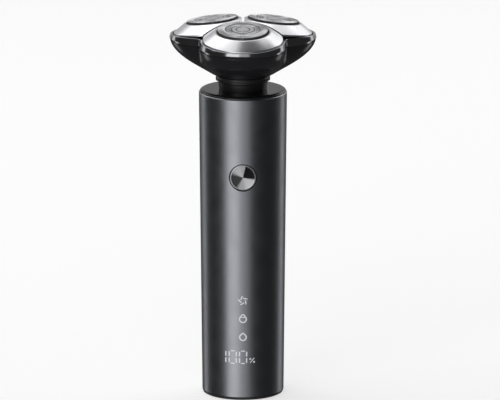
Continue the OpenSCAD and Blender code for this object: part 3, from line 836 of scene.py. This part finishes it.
def make_bezel(where, azimuth, material):
    corners = [
        (CAP_R + 0.3, -0.9), (CAP_R + 0.3, 0), (11.6, 0), (BEZEL_R, -3.3), (BEZEL_R, -4), (BEZEL_R - 0.8, -4),
        (BEZEL_R - 0.8, -3.65), (13.4, -2.14), (13.4, -3.2), (12.7, -3.2), (12.7, -1.66), (11.6, -0.9),
    ]
    place = petal_place(azimuth)
    bm = lathe(rounded(corners, 0.28, 4), 256)
    bmesh.ops.recalc_face_normals(bm, faces=bm.faces)
    cut_to_sector(bm, place, azimuth)
    piece = finish_mesh("bezel_ring_" + where, bm, material, 34, place)
    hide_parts("bezel_" + where)
    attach(piece, "petal_" + where)


def cap_outline():
    """Guard's outside from its centre to its skirt, with three grooves."""
    top, groove = 0.9, 0.74
    outline = [(0, top - 0.04), (1.6, top - 0.04), (2.5, top - 0.03)]
    for r in CAP_GROOVES:
        outline += [(r - 0.16, top), (r - 0.06, groove), (r + 0.06, groove), (r + 0.16, top)]
    outline += [(7.5, top), (8.5, top), (9.5, top), (10.1, top), (10.32, 0.84), (10.46, 0.7), (CAP_R, 0.5)]
    outline += [(CAP_R, 0.05), (CAP_R, -1.9)]
    return outline


def make_guard_cap(where, azimuth, material):
    """Guard with slots in its outer track and skirt, and in the flat track inside that."""
    slots, outer_track_r, inner_track_r, skirt_foot_z = 90, 7.4, 5, 0.1
    outline = cap_outline()

    def open_cell(j, i):
        r, z = outline[j]
        if i % 2:
            return False
        in_outer = outer_track_r < r and z > skirt_foot_z
        return in_outer or r < inner_track_r < outline[j + 1][0]

    bm = grid_mesh(around_axis(outline, 2 * slots), False, True, open_cell)
    place = petal_place(azimuth)
    piece = finish_mesh("guard_foil_" + where, bm, material, 30, place)
    thick = piece.modifiers.new("foil", "SOLIDIFY")
    thick.thickness = 0.25 * MM
    thick.offset = -1
    apply_modifiers(piece)
    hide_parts("guard_cap_" + where)
    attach(piece, "petal_" + where)


# ---- Finishes for the CAD nodes that keep their own shape ----

def coat_nodes(finishes):
    for material, names in finishes:
        for name in names:
            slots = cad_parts[name].data.materials
            for i in range(len(slots)):
                slots[i] = material
            if not slots:
                slots.append(material)


make_camera()
make_floor()
make_studio()

deck_black = black_gloss("deck_black", 0.1, 0.25)
bowl_black = black_gloss("bowl_black", 0.24, 0.5)
neck_black = black_gloss("neck_black", 0.36, 0.4)
chrome = satin_chrome()
foil = guard_steel()
make_tube(gunmetal())
make_marks(lit_marks())
make_deck(deck_black)
make_collar(neck_black)
make_button(spun_button())
make_bowl(bowl_black)
make_frame_band(dark_chrome())
for where, azimuth in LOBES.items():
    make_bezel(where, azimuth, chrome)
    make_guard_cap(where, azimuth, foil)

nylon = moulded("gear_nylon", (0.74, 0.71, 0.62), 0.48)
frame_grey = moulded("chassis_plastic", (0.52, 0.52, 0.5), 0.55)
dark_plastic = moulded("black_plastic", (0.022, 0.022, 0.024), 0.5)
turned_steel = worked_steel("turned_steel", (0.56, 0.57, 0.59), 0.25, (1, 1, 8))
plated_steel = worked_steel("plated_steel", (0.5, 0.5, 0.5), 0.36, (1, 1, 1), 0.8)
blade_steel = worked_steel("blade_steel", (0.63, 0.63, 0.65), 0.24, (1, 6, 1))
strip_nickel = worked_steel("nickel", (0.62, 0.59, 0.53), 0.3, (6, 1, 1))
sintered = worked_steel("sintered_magnet", (0.09, 0.09, 0.095), 0.55, (1, 1, 1), 0.2, 0.01)
each = list(LOBES)
coat_nodes([
    (neck_black, ["neck_base", "swivel_ball"]),
    (soft_rubber(), ["base_seal", "button_boot", "shaft_seal", "neck_seal"]),
    (dark_plastic, ["base_cap", "motor_end_cap", "gear_cover", "hinge_plate"]),
    (dark_plastic, ["cutter_holder_" + w for w in each] + ["drive_pin_" + w for w in each]),
    (moulded("frosted_diffuser", (0.78, 0.78, 0.78), 0.4), ["light_guide"]),
    (moulded("led_package", (0.82, 0.8, 0.6), 0.3), ["display_leds"]),
    (board_green(), ["main_board"]),
    (frame_grey, ["chassis_rear", "chassis_front", "motor_mount", "button_stem", "gimbal_ring"]),
    (battery_wrap(), ["battery_cell"]),
    (strip_nickel, ["battery_tabs", "charge_socket", "latch_magnets"]),
    (plated_steel, ["tact_switch", "motor_can", "motor_screws"]),
    (sintered, ["motor_magnets"]),
    (wound_copper(), ["armature_core", "commutator"]),
    (turned_steel, ["motor_shaft", "drive_coupling", "gimbal_pins", "gear_axles"]),
    (nylon, ["sun_gear"] + ["spindle_gear_" + w for w in each]),
    (blade_steel, ["inner_cutter_" + w for w in each]),
])
